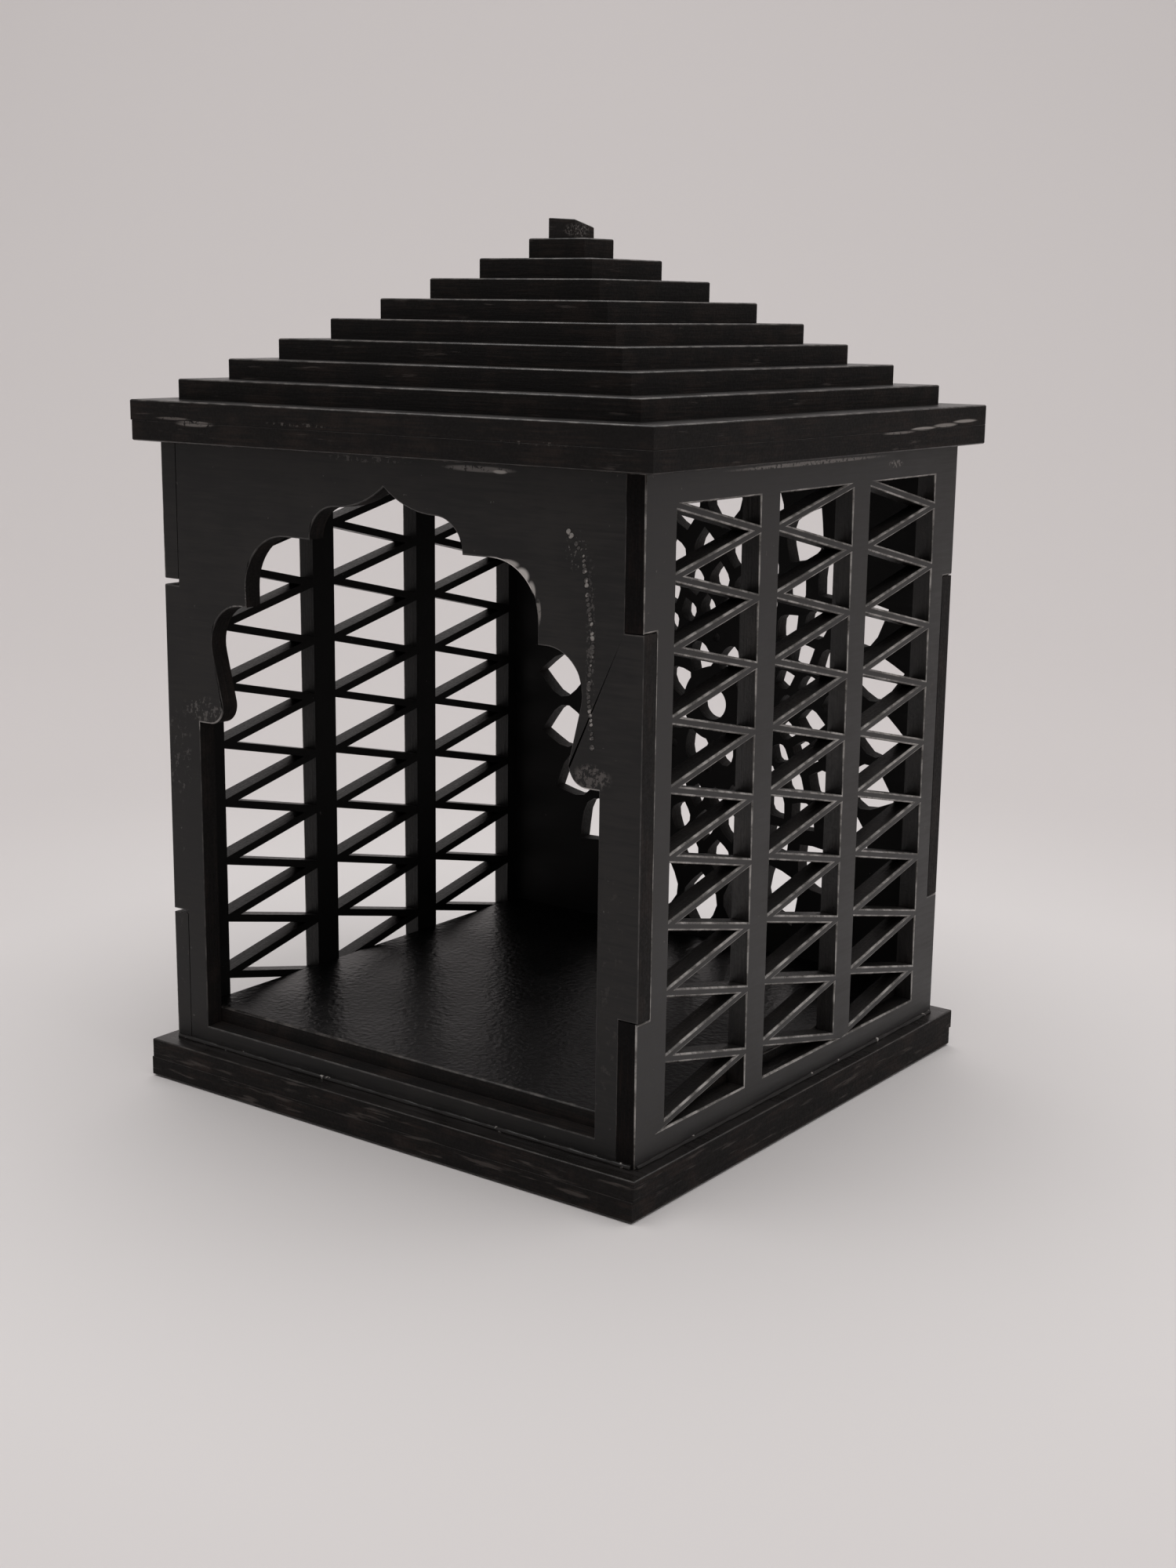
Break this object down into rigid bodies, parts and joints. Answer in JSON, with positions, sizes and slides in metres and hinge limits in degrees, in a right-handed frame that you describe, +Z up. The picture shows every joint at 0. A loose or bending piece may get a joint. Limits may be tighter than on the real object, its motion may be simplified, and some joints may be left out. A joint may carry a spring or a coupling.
{
  "type": "miniature dashboard temple",
  "caption": "Miniature flat-board shrine: cusped arch front, lattice sides, pierced back, stepped pyramid roof and a plinth of stacked boards.",
  "frame": {"origin": "centre of the underside of the base", "axes": "+Z up; the arched open front faces -Y; +X to the right of someone facing the arch"},
  "size_m": [0.094, 0.0914, 0.132],
  "materials": {
    "painted_board_face": "satin black paint over fibreboard",
    "painted_board_side": "satin black paint over fibreboard, thin on the cut edges",
    "painted_roof_board": "brown-black paint, thin on the cut edges",
    "floor_gloss_paint": "gloss black paint with orange-peel texture"
  },
  "bodies": {
    "root": {"base_lower_board": "painted_roof_board", "base_upper_board": "painted_roof_board", "floor_board": "floor_gloss_paint", "front_wall": "painted_board_face", "back_wall": "painted_board_face", "left_wall": "painted_board_side", "right_wall": "painted_board_side", "eave_lower_board": "painted_roof_board", "eave_upper_board": "painted_roof_board", "roof_tier_1": "painted_roof_board", "roof_tier_2": "painted_roof_board", "roof_tier_3": "painted_roof_board", "roof_tier_4": "painted_roof_board", "roof_tier_5": "painted_roof_board", "roof_tier_6": "painted_roof_board", "roof_tier_7": "painted_roof_board", "roof_tier_8": "painted_roof_board", "finial_block": "painted_roof_board"}
  },
  "joints": []
}
